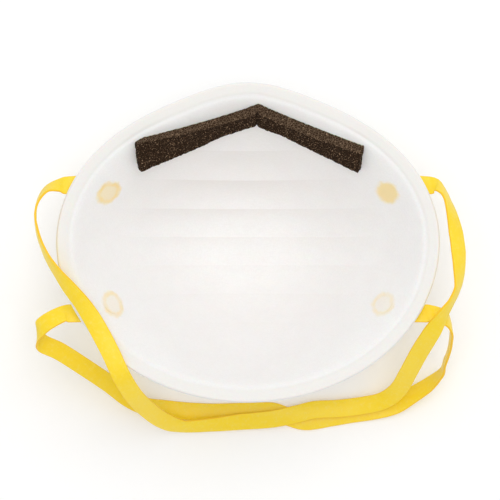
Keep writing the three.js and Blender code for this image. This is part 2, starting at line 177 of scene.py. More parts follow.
HEAD_ROUTE = [
    (-70.8, 18.6, 43.8, 0.2, -0.25, 0.95),
    (-73.8, 14.2, 44.6, 0.1, -0.1, 1),
    (-74.6, 9.2, 45.6, 0.05, 0, 1),
    (-73.9, 4.2, 46.6, 0.15, 0.05, 1),
    (-72.1, -1.2, 47.8, 0.2, 0.07, 0.97),
    (-69.7, -6.0, 49.2, 0.28, 0.17, 0.95),
    (-66.2, -11.0, 50.4, 0.4, 0.3, 0.87),
    (-62.4, -15.8, 50.6, 0.6, 0.45, 0.66),
    (-58.0, -21.2, 50.2, 0.7, 0.5, 0.5),
    (-54.2, -27.0, 49.8, 0.84, 0.5, 0.2),
    (-51.0, -32.8, 49.2, 0.87, 0.5, 0),
    (-47.8, -39.0, 49.4, 0.88, 0.45, 0),
    (-44.6, -46.2, 47.8, 0.87, 0.5, 0),
    (-40.8, -53.6, 39.0, 0.8, 0.6, 0.05),
    (-36.5, -59.4, 26.5, 0.6, 0.75, 0.3),
    (-30.8, -64.6, 13.5, 0.35, 0.8, 0.5),
    (-24.6, -67.2, 6.0, 0.1, 0.65, 0.75),
    (-12.9, -66.8, 3.6, 0, 0.75, 0.6),
    (-3.3, -65.9, 2.5, 0, 0.9, 0.4),
    (9.2, -64.8, 2.1, 0, 1, 0.2),
    (18.0, -63.0, 2.1, 0.1, 1, 0),
    (24.3, -61.5, 2.1, 0.1, 1, -0.1),
    (33.1, -61.0, 2.1, 0, 1, -0.1),
    (42.2, -59.8, 3.0, -0.1, 1, 0),
    (49.2, -58.0, 5.5, -0.3, 1, 0.2),
    (54.4, -53.6, 12.5, -0.65, 0.7, 0.35),
    (57.6, -46.8, 23.0, -0.8, 0.5, 0.3),
    (60.9, -39.0, 34.0, -0.85, 0.45, 0.2),
    (64.6, -31.6, 44.0, -0.78, 0.45, 0.35),
    (68.0, -25.4, 48.0, -0.5, 0.3, 0.8),
    (71.1, -20.8, 48.6, -0.32, 0.18, 0.93),
    (73.2, -16.2, 48.2, -0.34, 0.09, 0.93),
    (73.9, -10.4, 47.2, -0.62, 0.03, 0.78),
    (73.8, -3.4, 46.2, -0.8, 0, 0.6),
    (72.9, 3.6, 45.4, -0.77, -0.13, 0.62),
    (71.5, 10.4, 44.6, -0.54, -0.12, 0.83),
    (70.2, 14.6, 43.9, -0.33, -0.11, 0.94),
    (68.9, 17.4, 43.3, -0.2, -0.3, 0.93),
]
NECK_ROUTE = [
    (-70.6, -28.0, 42.6, 0.25, -0.9, 0.35),
    (-73.6, -30.6, 40.4, 0.1, -1, 0),
    (-74.4, -33.2, 36.8, 0, -1, 0),
    (-73.2, -35.8, 33.2, -0.2, -1, 0),
    (-67.6, -38.8, 28.6, -0.5, -0.85, 0),
    (-58.6, -45.2, 20.4, -0.58, -0.8, 0),
    (-50.0, -51.8, 11.6, -0.58, -0.8, 0),
    (-43.6, -57.2, 5.6, -0.5, -0.85, 0),
    (-37.6, -60.2, 2.2, -0.35, -0.9, 0),
    (-30.6, -61.2, 0.9, -0.1, -1, 0),
    (-22.1, -62.1, 0.6, 0, -1, 0),
    (-12.9, -62.5, 0.6, 0, -1, 0),
    (0.4, -62.2, 0.6, 0, -1, 0),
    (9.4, -62.2, 0.6, -0.2, -1, 0),
    (15.4, -64.4, 0.6, -0.35, -0.95, 0),
    (21.0, -65.8, 0.6, 0, -1, 0),
    (30.6, -64.4, 0.6, 0.15, -1, 0),
    (37.6, -63.2, 0.6, 0.15, -1, 0),
    (46.8, -61.8, 0.9, 0.2, -1, 0.1),
    (54.2, -59.8, 1.9, 0.35, -0.9, 0.25),
    (60.2, -56.0, 4.2, 0.5, -0.75, 0.5),
    (66.4, -51.6, 8.0, 0.4, -0.5, 0.8),
    (70.2, -47.6, 12.4, 0.1, -0.2, 1),
    (71.4, -42.8, 18.4, 0, 0, 1),
    (72.2, -38.2, 25.0, 0, 0, 1),
    (72.4, -34.2, 31.0, 0, -0.2, 1),
    (72.0, -30.4, 36.6, 0, -0.5, 0.9),
    (69.8, -26.8, 40.6, 0, -0.85, 0.5),
]
TO_CHIN = np.array((0.0, -1.0, 0.0))
HEAD_EXIT_EDGE = np.array((0.0, -0.7, 0.7))      # the chin-side edge of the band at the exit
NECK_EXIT_EDGE = np.array((0.0, -0.85, 0.5))


def cheek_angle(angle, side):
    """The same outline angle on the right cheek (side 1) or mirrored to the left (side -1)."""
    return angle if side > 0 else math.pi - angle


def tab_stops(angles, exit_edge, side):
    """Stops of a strap's end, up the outside of the wall and out under the edge."""
    weld, leave = angles
    stops = []
    for inset in (WELD_INSET + TAB_TAIL, WELD_INSET + TAB_TAIL / 2, WELD_INSET, WELD_INSET - TAB_TAIL / 2):
        angle = cheek_angle(weld, side)
        normal = inner_normal(angle, inset)
        edge = TO_CHIN - normal * (TO_CHIN @ normal)
        stops.append((cup_point(angle, inset, TAB_DEPTH), edge))
    rim = edge_point(leave)
    reach = np.linalg.norm(rim)
    x, y = rim * (reach + EXIT_OVERHANG) / reach
    leave_at = np.array((side * x, y, CUP_DEPTH - EXIT_BELOW_EDGE))
    stops.append((leave_at + np.array((-side * 1.5, 0, -0.15)) * MM, TO_CHIN + exit_edge))
    stops.append((leave_at, exit_edge))
    return stops


def whole_strap(angles, exit_edge, route):
    """All stops of a strap, from the tail of its left end to the tail of its right end."""
    middle = [(np.array(stop[:3]) * MM, np.array(stop[3:])) for stop in route]
    return tab_stops(angles, exit_edge, -1) + middle + tab_stops(angles, exit_edge, 1)[::-1]


def smooth_route(stops, spacing):
    """Places and left-edge directions along a centripetal curve through the stops."""
    at = np.array([place for place, _ in stops])
    edges = np.array([edge / np.linalg.norm(edge) for _, edge in stops])
    at = np.vstack([2 * at[0] - at[1], at, 2 * at[-1] - at[-2]])
    knots = np.concatenate([[0], np.cumsum(np.linalg.norm(np.diff(at, axis=0), axis=1) ** 0.5)])
    places, sides = [], []
    for i in range(1, len(at) - 2):
        steps = max(2, round(np.linalg.norm(at[i + 1] - at[i]) / spacing))
        t = np.linspace(knots[i], knots[i + 1], steps, endpoint=False)[:, None]
        k = knots[i - 1:i + 3]
        p = at[i - 1:i + 3]
        a = [((k[j + 1] - t) * p[j] + (t - k[j]) * p[j + 1]) / (k[j + 1] - k[j]) for j in range(3)]
        b = [((k[j + 2] - t) * a[j] + (t - k[j]) * a[j + 1]) / (k[j + 2] - k[j]) for j in range(2)]
        places.append(((k[2] - t) * b[0] + (t - k[1]) * b[1]) / (k[2] - k[1]))
        share = (t - k[1]) / (k[2] - k[1])
        sides.append(edges[i - 1] * (1 - share) + edges[i] * share)
    places.append(at[-2:-1])
    sides.append(edges[-1:])
    return np.vstack(places), np.vstack(sides)


BAND_SPACING = 1.0 * MM
HEAD_LINE, HEAD_SIDES = smooth_route(whole_strap(HEAD_ANGLES, HEAD_EXIT_EDGE, HEAD_ROUTE), BAND_SPACING)
NECK_LINE, NECK_SIDES = smooth_route(whole_strap(NECK_ANGLES, NECK_EXIT_EDGE, NECK_ROUTE), BAND_SPACING)


def line_length(line):
    return float(np.linalg.norm(np.diff(line, axis=0), axis=1).sum())


for title, line in (("head", HEAD_LINE), ("neck", NECK_LINE)):
    print(title, "strap", round(1000 * line_length(line)), "mm, weld tail to weld tail")

# %% [markdown]
# ## Elastic bands: the mesh
# A band could be a curve with a flat bevel, but its twists are easier to steer one by one: a rounded
# section is extruded one short step at a time, and every new section is set square to the route.
# Each point also remembers how far along and how far across the band it is, for the material.
# A strap is three pieces: two ends that stay on the cup and twist, and a loop that swings.

# %% Helpers for modelling with operators
def deselect():
    """Leave edit mode and select nothing, because an operator acts on all that is selected."""
    if bpy.context.object and bpy.context.object.mode != "OBJECT":
        bpy.ops.object.mode_set(mode="OBJECT")
    bpy.ops.object.select_all(action="DESELECT")


def named(name):
    """Name the new active object and its mesh."""
    piece = bpy.context.object
    piece.name = piece.data.name = name
    return piece


def apply_all(piece):
    """Apply every modifier of a piece, in order."""
    deselect()
    bpy.context.view_layer.objects.active = piece
    piece.select_set(True)
    for modifier in list(piece.modifiers):
        bpy.ops.object.modifier_apply(modifier=modifier.name)


def close_and_smooth(piece, sharp_degrees):
    """Merge doubles, turn the normals outwards and shade smooth up to an angle."""
    deselect()
    bpy.context.view_layer.objects.active = piece
    piece.select_set(True)
    bpy.ops.object.mode_set(mode="EDIT")
    bpy.ops.mesh.select_all(action="SELECT")
    bpy.ops.mesh.remove_doubles(threshold=1e-6)
    bpy.ops.mesh.normals_make_consistent(inside=False)
    bpy.ops.object.mode_set(mode="OBJECT")
    bpy.ops.object.shade_smooth_by_angle(angle=math.radians(sharp_degrees))
    return piece


# %% Extrude the bands
SECTION_SIDES = 16
BAND_EDGE_RADIUS = 0.3 * MM


def band_section():
    """Points of the band's rounded section, as (across, through), anticlockwise."""
    half_w, half_t = STRAP_WIDTH / 2 - BAND_EDGE_RADIUS, STRAP_THICKNESS / 2 - BAND_EDGE_RADIUS
    points = []
    for i in range(SECTION_SIDES):
        turn = 2 * math.pi * (i + 0.5) / SECTION_SIDES
        corner = (math.copysign(half_w, math.cos(turn)), math.copysign(half_t, math.sin(turn)))
        points.append((corner[0] + BAND_EDGE_RADIUS * math.cos(turn), corner[1] + BAND_EDGE_RADIUS * math.sin(turn)))
    return points


SECTION = band_section()


def extrude_band(name, line, sides, first, last):
    """A closed band along part of a route, from one point of the line to another."""
    lengths = np.concatenate([[0], np.cumsum(np.linalg.norm(np.diff(line, axis=0), axis=1))])
    forward = np.gradient(line, axis=0)
    forward /= np.linalg.norm(forward, axis=1)[:, None]
    square = sides - forward * np.sum(sides * forward, axis=1)[:, None]
    square /= np.linalg.norm(square, axis=1)[:, None]
    face = np.cross(forward, square)
    deselect()
    bpy.ops.mesh.primitive_circle_add(vertices=SECTION_SIDES, radius=STRAP_WIDTH / 2, fill_type="NGON")
    piece = named(name)
    bpy.ops.object.mode_set(mode="EDIT")
    mesh = bmesh.from_edit_mesh(piece.data)
    mesh.verts.layers.int.new("corner")
    mesh.verts.layers.float.new("along")
    mesh.verts.layers.float.new("across")
    mesh.verts.ensure_lookup_table()
    corner = mesh.verts.layers.int["corner"]
    for i, vertex in enumerate(mesh.verts):
        vertex[corner] = i
    for step in range(first, last + 1):
        if step > first:
            bpy.ops.mesh.extrude_region_move()
            mesh = bmesh.from_edit_mesh(piece.data)
        corner = mesh.verts.layers.int["corner"]
        along = mesh.verts.layers.float["along"]
        across = mesh.verts.layers.float["across"]
        for vertex in mesh.verts:
            if vertex.select:
                w, t = SECTION[vertex[corner]]
                vertex.co = line[step] + square[step] * w + face[step] * t
                vertex[along] = lengths[step]
                vertex[across] = 2 * w / STRAP_WIDTH
    bpy.ops.object.mode_set(mode="OBJECT")
    return close_and_smooth(piece, 50)


def nearest_step(line, place):
    return int(np.argmin(np.linalg.norm(line - np.array(place) * MM, axis=1)))


def make_strap(name, line, sides, route):
    """The two ends and the loop of one strap, meeting at the first and last stop of its route."""
    left, right = nearest_step(line, route[0][:3]), nearest_step(line, route[-1][:3])
    return (
        extrude_band(f"{name}_end_left", line, sides, 0, left),
        extrude_band(f"{name}_loop", line, sides, left, right),
        extrude_band(f"{name}_end_right", line, sides, right, len(line) - 1),
        line[left:right + 1],
    )


head_left, head_loop, head_right, head_free = make_strap("head_strap", HEAD_LINE, HEAD_SIDES, HEAD_ROUTE)
neck_left, neck_loop, neck_right, neck_free = make_strap("neck_strap", NECK_LINE, NECK_SIDES, NECK_ROUTE)
print("loops", [round(1000 * line_length(line)) for line in (head_free, neck_free)], "mm")

# %% [markdown]
# ## How the bands move
# The loop rides on its own body. An end piece stays welded to the cup at one side of the mask's edge
# and follows the loop at the other, so it is blended across the joint and twists as the loop lifts.

# %% Fasten the bands to the bodies
CUP, HEAD, NECK = "cup_and_welds", "head_strap_loop", "neck_strap_loop"
TWIST_STARTS = {HEAD: 59.5 * MM, NECK: 58.5 * MM}
for loop, ends, body, line, node in (
    (head_loop, (head_left, head_right), HEAD, head_free, "upper_strap"),
    (neck_loop, (neck_left, neck_right), NECK, neck_free, "lower_strap"),
):
    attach(loop, body)
    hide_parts(node)
    for end, side, seam in ((ends[0], -1, line[0]), (ends[1], 1, line[-1])):
        start = (side * TWIST_STARTS[body], 0, 0)
        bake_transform(end, CUP, body, start=start, end=(seam[0] - side * 0.5 * MM, 0, 0))
        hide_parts(f"{node}_end_{'left' if side < 0 else 'right'}")
    line_length(line)

# %% [markdown]
# ## Webs of the cup
# The cup is moulded from flat nonwoven: a thin cover outside, a soft filter in the middle and a
# stiffer shell inside. Each web is a sheet of its own. A ring at the mask's edge is extruded down the
# wall ring by ring, the flat front panel is filled with a grid, and the sheet then gets its thickness
# and a subdivision surface. Ribs and creases pressed in the mould are real shape, not only shading.

# %% Extrude a web down the form
ROUNDS = 96
BAND_INSETS = [0, 1.2, 2.8, 4.3, 5.0]                    # mm in from the edge
WALL_SHARES = [0.93, 0.85, 0.76, 0.66, 0.56, 0.45, 0.34, 0.22, 0.1, 0]   # of the wall, edge to panel
PANEL_SHARES = [0.7, 0.4]                                # of the panel's radius
GRID_SPAN = 24


def web_insets(angle):
    """The insets of all rings at an outline angle."""
    reach = np.linalg.norm(edge_point(angle))
    panel = (reach - BAND_WIDTH) * PANEL_SHARE
    wall = [reach - panel - share * (reach - BAND_WIDTH - panel) for share in WALL_SHARES]
    return [inset * MM for inset in BAND_INSETS] + wall + [reach - share * panel for share in PANEL_SHARES]


def extrude_web(name, outside, inside):
    """A web between two depths of the wall, as a closed, subdivided sheet."""
    deselect()
    bpy.ops.mesh.primitive_circle_add(vertices=ROUNDS, radius=HALF_WIDTH, fill_type="NOTHING")
    piece = named(name)
    bpy.ops.object.mode_set(mode="EDIT")
    mesh = bmesh.from_edit_mesh(piece.data)
    turn = mesh.verts.layers.float.new("turn")
    mesh.verts.layers.float.new("inset")
    for vertex in mesh.verts:
        vertex[turn] = math.atan2(vertex.co.y, vertex.co.x)
    for ring in range(len(web_insets(0.0))):
        if ring:
            bpy.ops.mesh.extrude_region_move()
            mesh = bmesh.from_edit_mesh(piece.data)
        turn = mesh.verts.layers.float["turn"]
        inset = mesh.verts.layers.float["inset"]
        for vertex in mesh.verts:
            if vertex.select:
                vertex[inset] = web_insets(vertex[turn])[ring]
                vertex.co = cup_point(vertex[turn], vertex[inset], outside)
    bpy.ops.mesh.fill_grid(span=GRID_SPAN)
    bpy.ops.mesh.select_all(action="SELECT")
    bpy.ops.mesh.normals_make_consistent(inside=False)
    bpy.ops.object.mode_set(mode="OBJECT")
    middle = min(piece.data.polygons, key=lambda face: face.center.length)
    wall = piece.modifiers.new("wall", "SOLIDIFY")
    wall.thickness = inside - outside
    wall.offset = 1 if middle.normal.z > 0 else -1
    wall.use_even_offset = True
    smooth = piece.modifiers.new("smooth", "SUBSURF")
    smooth.levels = smooth.render_levels = 2
    apply_all(piece)
    print(name, len(piece.data.vertices), "points")
    return piece


# depths of the web faces, from the outside in; the moulded webs touch
COVER_FACES = (0.0, 0.55 * MM)
FILTER_FACES = (0.6 * MM, 1.75 * MM)
SHELL_FACES = (1.8 * MM, 2.7 * MM)
outer_cover = extrude_web("cover_web", *COVER_FACES)
filter_web = extrude_web("filter_web_layer", *FILTER_FACES)
inner_shell = extrude_web("shell_web_layer", *SHELL_FACES)

# %% [markdown]
# ## What the mould and the hand leave in the webs
# Shallow ribs run across the front of the cup, the felt is never quite even, and the pressed band
# has small puckers where the flat web was gathered into a curve. All three webs move together, along
# the wall's own normal, so they stay nested.

# %% Press ribs, puckers and unevenness into the webs
RIB_PITCH = 10.3 * MM
RIB_LINE = 2.0 * MM              # one ridge crosses the cup this far above its centre
RIB_HEIGHT = 0.50 * MM
RIB_REACH = (46 * MM, 37 * MM)   # half width and half height of the ribbed field
CREASE_INSET, CREASE_WIDTH, CREASE_DEPTH = 4.9 * MM, 0.6 * MM, 0.3 * MM
PUCKERS = [(59.4, 5.4, 2.2, 0.5), (63.2, -1.6, 2.4, 0.45), (3.4, 51.2, 2.0, 0.7), (33.6, 44.0, 3.5, 0.5),
           (-38.0, 41.0, 4.0, 0.35), (-61.0, -12.0, 4.0, 0.3), (42.0, -42.0, 5.0, 0.3)]


def soft_step(x):
    x = np.clip(x, 0, 1)
    return x * x * (3 - 2 * x)


def pressed_shape(x, y, inset):
    """How far the webs stand towards the wearer at a plan position."""
    field = np.hypot(x / RIB_REACH[0], (y - 2 * MM) / RIB_REACH[1])
    scallop = (1 - 2 * np.mod((RIB_LINE - y) / RIB_PITCH, 1)) ** 2
    height = RIB_HEIGHT * scallop * soft_step((1.1 - field) / 0.35)
    height = height - CREASE_DEPTH * np.exp(-(((inset - CREASE_INSET) / CREASE_WIDTH) ** 2))
    for px, py, radius, depth in PUCKERS:
        away = np.hypot(x - px * MM, y - py * MM) / (radius * MM)
        height = height - depth * MM * 0.5 * np.exp(-(away**2))
    return height


def felt_shape(points):
    """Slow and quick unevenness of the felt, in metres."""
    slow, quick = 1 / (17 * MM), 1 / (4.2 * MM)
    return np.array([
        0.22 * MM * noise.noise(Vector(p) * slow) + 0.035 * MM * noise.noise(Vector(p) * quick)
        for p in points
    ])


def mould(piece):
    """Move every point of a web along the wall's normal by the pressed and felted shape."""
    places = np.empty(3 * len(piece.data.vertices))
    piece.data.vertices.foreach_get("co", places)
    places = places.reshape(-1, 3)
    angle, inset = outline_of(places[:, 0], places[:, 1])
    normal = inner_normal(angle, np.minimum(inset, 0.9 * np.linalg.norm(edge_point(angle), axis=-1)))
    plan = places * np.array((1, 1, 0))
    shift = pressed_shape(places[:, 0], places[:, 1], inset) + felt_shape(plan)
    shift *= soft_step(places[:, 2] / (4 * MM))   # the panel that the mask lies on stays flat
    places += normal * shift[:, None]
    piece.data.vertices.foreach_set("co", places.ravel())
    # mask of the pressed edge band, which the felt darkens with painted shade
    pressed = piece.data.attributes.new("pressed", "FLOAT", "POINT")
    pressed.data.foreach_set("value", soft_step((CREASE_INSET - inset) / (0.8 * MM) + 0.5))
    piece.data.update()
    return close_and_smooth(piece, 60)


for web in (outer_cover, filter_web, inner_shell):
    mould(web)
for web, node, slot in (
    (outer_cover, "outer_cover", "cover_web"),
    (filter_web, "filter_media", "filter_web"),
    (inner_shell, "inner_shell", "shell_web"),
):
    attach(web, CUP)
    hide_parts(node)

# %% [markdown]
# ## Nose foam, nose clip and their adhesive
# A strip of open-cell foam is glued inside the nose and a soft aluminium strip outside it. Each is
# cut flat and bent onto the wall, so it is modelled flat too: a grid of the strip's size is extruded
# to its thickness, its edges are softened, and then the block is wrapped on the form.

# %% Wrap flat strips on the wall
FOAM_LENGTH, FOAM_WIDTH, FOAM_THICKNESS = 92 * MM, 11 * MM, 2.8 * MM
CLIP_LENGTH, CLIP_WIDTH, CLIP_THICKNESS = 88 * MM, 5 * MM, 0.8 * MM
FILM = 0.25 * MM
FOAM_DEPTH = SHELL_FACES[1] + 0.15 * MM
WALK = np.arange(0, 60) * 0.5 * MM


def angle_table(inset, depth):
    """Outline angles round the nose and the length walked from its middle, signed to the right."""
    angles = np.linspace(NOSE - 1.4, NOSE + 1.4, 561)
    points = cup_point(angles, np.full_like(angles, inset), np.full_like(angles, depth))
    walked = np.concatenate([[0], np.cumsum(np.linalg.norm(np.diff(points, axis=0), axis=1))])
    walked -= np.interp(NOSE, angles, walked)
    return -walked[::-1], angles[::-1]


def wrap(piece, inset, depth, skew=0.0, lift=None):
    """Bend a flat strip, lying in X and Y with its thickness in Z, onto the wall at the nose."""
    lengths, angles = angle_table(inset, depth)
    for vertex in piece.data.vertices:
        along, down, up = vertex.co
        angle = float(np.interp(along, lengths, angles))
        start = inset + skew * along
        wall = cup_point(np.full(len(WALK), angle), start + WALK, np.full(len(WALK), depth))
        walked = np.concatenate([[0], np.cumsum(np.linalg.norm(np.diff(wall, axis=0), axis=1))])
        in_from = start + float(np.interp(down, walked, WALK))
        height = up + (lift(along, down) if lift else 0)
        vertex.co = cup_point(angle, in_from, depth + height)
    piece.data.update()
    return piece


def flat_strip(name, length, width, thickness, cuts, layers):
    """A closed block: x from -length/2, y from 0 down the wall, z from 0 to the thickness."""
    deselect()
    bpy.ops.mesh.primitive_grid_add(x_subdivisions=cuts[0], y_subdivisions=cuts[1], size=1)
    piece = named(name)
    bpy.ops.object.mode_set(mode="EDIT")
    bpy.ops.mesh.select_all(action="SELECT")
    bpy.ops.transform.resize(value=(length, width, 1))
    bpy.ops.transform.translate(value=(0, width / 2, 0))
    for _ in range(layers):
        bpy.ops.mesh.extrude_region_move(TRANSFORM_OT_translate={"value": (0, 0, thickness / layers)})
    bpy.ops.mesh.select_all(action="SELECT")
    bpy.ops.mesh.normals_make_consistent(inside=False)
    bpy.ops.object.mode_set(mode="OBJECT")
    return piece


# %% Lay the two straight halves of the foam
# plan of the strip's rim-side corner: left end, fold under the nose, right end
FOAM_LEFT, FOAM_FOLD, FOAM_RIGHT = (np.array(p) * MM for p in ((-40.7, 37.4), (4.0, 51.3), (41.8, 35.2)))
FOAM_DOWN = np.array((-0.05, -1.0))   # both halves hang straight towards the chin
FOLD_DEPTH = 0.8 * MM
WIDTH_SHARES = (                 # the strip is squeezed narrower on both sides of the fold
    (-1.0, 0.97), (-0.52, 0.88), (-0.3, 0.76), (-0.12, 0.84), (0.0, 0.95), (0.08, 0.92), (0.25, 0.80), (0.6, 0.87),
    (1.0, 0.96),
)
LEFT_LIFT = 1.8 * MM             # the lower left corner stands off the wall
SLANTS = ((-1.0, 0.1), (-0.5, 0.9), (0.0, 2.2), (0.45, 2.6), (1.0, 1.5))   # mm the cut edge leans, along


def lay_foam(piece, length, depth, lift=0.0, slant=0.0):
    """Wrap a flat block on the wall along the two straight lines of the strip."""
    columns = {}
    for vertex in piece.data.vertices:
        columns.setdefault(round(vertex.co.x * 1e6), []).append(vertex)
    for column in columns.values():
        across = column[0].co.x / (length / 2)
        end = FOAM_LEFT if across < 0 else FOAM_RIGHT
        start = FOAM_FOLD + (end - FOAM_FOLD) * abs(across)
        walk = start + WALK[:, None] * FOAM_DOWN
        angle, inset = outline_of(walk[:, 0], walk[:, 1])
        inset = np.maximum(inset, BAND_WIDTH + 0.4 * MM)
        wall = cup_point(angle, inset, np.full(len(WALK), depth))
        walked = np.concatenate([[0], np.cumsum(np.linalg.norm(np.diff(wall, axis=0), axis=1))])
        curl = lift * soft_step((-across - 0.25) / 0.75)
        from_fold = across * length / 2
        crease = FOLD_DEPTH * math.exp(-((from_fold / (0.5 * MM)) ** 2))
        width = float(np.interp(across, *zip(*WIDTH_SHARES)))
        lean = slant * float(np.interp(across, *zip(*SLANTS))) * MM
        for vertex in column:
            _, y, up = vertex.co
            share, top = y / FOAM_WIDTH, up / FOAM_THICKNESS
            y = y * width + lean * (1 - share) * top
            at = float(np.interp(y, walked, WALK))
            here_angle = float(np.interp(at, WALK, np.unwrap(angle)))
            here_inset = float(np.interp(at, WALK, inset))
            height = up + curl * share**1.5 - crease * top
            vertex.co = cup_point(here_angle, here_inset, depth + height)
    piece.data.update()
    return piece


nose_foam = flat_strip("nose_foam_strip", FOAM_LENGTH, FOAM_WIDTH, FOAM_THICKNESS, (184, 22), 5)
soften = nose_foam.modifiers.new("soften", "BEVEL")
soften.width, soften.segments, soften.limit_method = 0.35 * MM, 2, "ANGLE"
apply_all(nose_foam)
# the strip's edge towards the mask's rim, which the foam material paints lighter as painted light
cut_edge = nose_foam.data.attributes.new("cut_edge", "FLOAT", "POINT")
cut_edge.data.foreach_set("value", [float(vertex.co.y < 0.2 * MM) for vertex in nose_foam.data.vertices])


def roughen(piece, height, size, seed):
    """Push points in and out along their normals, for cut cells and torn walls."""
    offset = Vector((seed, 2 * seed, 3 * seed))
    moved = [
        vertex.co + vertex.normal * height * noise.noise(vertex.co / size + offset)
        for vertex in piece.data.vertices
    ]
    for vertex, place in zip(piece.data.vertices, moved):
        vertex.co = place
    piece.data.update()


roughen(nose_foam, 0.22 * MM, 1.1 * MM, 5.3)
roughen(nose_foam, 0.16 * MM, 0.55 * MM, 9.1)
lay_foam(nose_foam, FOAM_LENGTH, FOAM_DEPTH, LEFT_LIFT, 1.0)
close_and_smooth(nose_foam, 70)
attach(nose_foam, CUP)
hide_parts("nose_foam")
print("foam", len(nose_foam.data.vertices), "points")

# %% Make the clip and the two adhesive films
nose_clip = flat_strip("nose_clip_strip", CLIP_LENGTH, CLIP_WIDTH, CLIP_THICKNESS, (90, 6), 1)
rounded = nose_clip.modifiers.new("rounded", "BEVEL")
rounded.width, rounded.segments, rounded.limit_method = 0.25 * MM, 3, "ANGLE"
apply_all(nose_clip)
CLIP_INSET = 8.0 * MM
CLIP_DEPTH = -0.85 * MM - CLIP_THICKNESS
wrap(nose_clip, CLIP_INSET, CLIP_DEPTH)
close_and_smooth(nose_clip, 40)

clip_film = flat_strip("clip_adhesive", CLIP_LENGTH + 1.2 * MM, CLIP_WIDTH + 1.0 * MM, 2 * FILM, (120, 8), 1)
foam_film = flat_strip("foam_adhesive", FOAM_LENGTH - 0.6 * MM, FOAM_WIDTH - 0.6 * MM, 0.5 * FILM, (120, 14), 1)
roughen(clip_film, 0.35 * MM, 3.0 * MM, 2.2)
wrap(clip_film, CLIP_INSET - 0.4 * MM, -0.25 * MM - 2 * FILM)
lay_foam(foam_film, FOAM_LENGTH, FOAM_DEPTH - 0.6 * FILM)
for piece, node, slot in (
    (nose_clip, "nose_clip", "clip_metal"),
    (clip_film, "nose_clip_adhesive", "adhesive"),
    (foam_film, "nose_foam_adhesive", "adhesive"),
):
    close_and_smooth(piece, 40)
    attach(piece, CUP)
    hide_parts(node)

# %% [markdown]
# ## Welds
# An ultrasonic horn fuses each strap end to all three webs in one round spot. From inside it shows as
# a slightly sunk disc with a raised rim, where the melted web lets the yellow band shine through.

# %% Press the four welds
WELD_RADIUS = 4.1 * MM
WELDS = [("upper_left", HEAD_ANGLES[0], -1), ("upper_right", HEAD_ANGLES[0], 1),
         ("lower_left", NECK_ANGLES[0], -1), ("lower_right", NECK_ANGLES[0], 1)]
WELD_RINGS = [(0.9, -0.30), (0.78, 0.05), (0.66, 0.02), (0.5, -0.10), (0.25, -0.12)]   # share, mm high


def press_weld(name, angle, side):
    """A fused plug through the webs, turned to the wall."""
    deselect()
    depth = SHELL_FACES[1] - 0.25 * MM
    bpy.ops.mesh.primitive_cylinder_add(vertices=64, radius=WELD_RADIUS, depth=depth, end_fill_type="NGON")
    piece = named(f"weld_spot_{name}")
    bpy.ops.object.mode_set(mode="EDIT")
    bpy.ops.mesh.select_all(action="DESELECT")
    mesh = bmesh.from_edit_mesh(piece.data)
    for end in (1, -1):
        for face in mesh.faces:
            face.select = face.normal.z * end > 0.9 and len(face.verts) > 4
        bmesh.update_edit_mesh(piece.data)
        last = 1.0
        for share, height in WELD_RINGS:
            bpy.ops.mesh.inset(thickness=(last - share) * WELD_RADIUS)
            bpy.ops.transform.translate(value=(0, 0, end * height * 0.5 * MM))
            last = share
        mesh = bmesh.from_edit_mesh(piece.data)
        bpy.ops.mesh.select_all(action="DESELECT")
    bpy.ops.object.mode_set(mode="OBJECT")
    at = cheek_angle(angle, side)
    normal = Vector(inner_normal(at, WELD_INSET))
    place = Vector(cup_point(at, WELD_INSET, SHELL_FACES[1] / 2 + 0.1 * MM))
    piece.data.transform(Matrix.Translation(place) @ normal.to_track_quat("Z", "Y").to_matrix().to_4x4())
    return close_and_smooth(piece, 50)


for name, angle, side in WELDS:
    weld = press_weld(name, angle, side)
    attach(weld, CUP)
    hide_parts(f"weld_{name}")

# %% [markdown]
# ## A small language for materials
# A finish is a graph of nodes. `Recipe` makes any node from its type, its settings and its sockets,
# and `Value` wraps one output so that sums can be written as Python expressions.

# %% Socket arithmetic and the node maker
class Value:
    """One output of a node, usable in arithmetic."""

    def __init__(self, recipe, socket):
        self.recipe, self.socket = recipe, socket

    def __add__(self, other):
        return self.recipe.sum("ADD", self, other)

    def __mul__(self, other):
        return self.recipe.sum("MULTIPLY", self, other)

    def __sub__(self, other):
        return self.recipe.sum("SUBTRACT", self, other)

    def __rsub__(self, other):
        return self.recipe.sum("SUBTRACT", other, self)

    def __pow__(self, other):
        return self.recipe.sum("POWER", self, other)

    __radd__, __rmul__ = __add__, __mul__


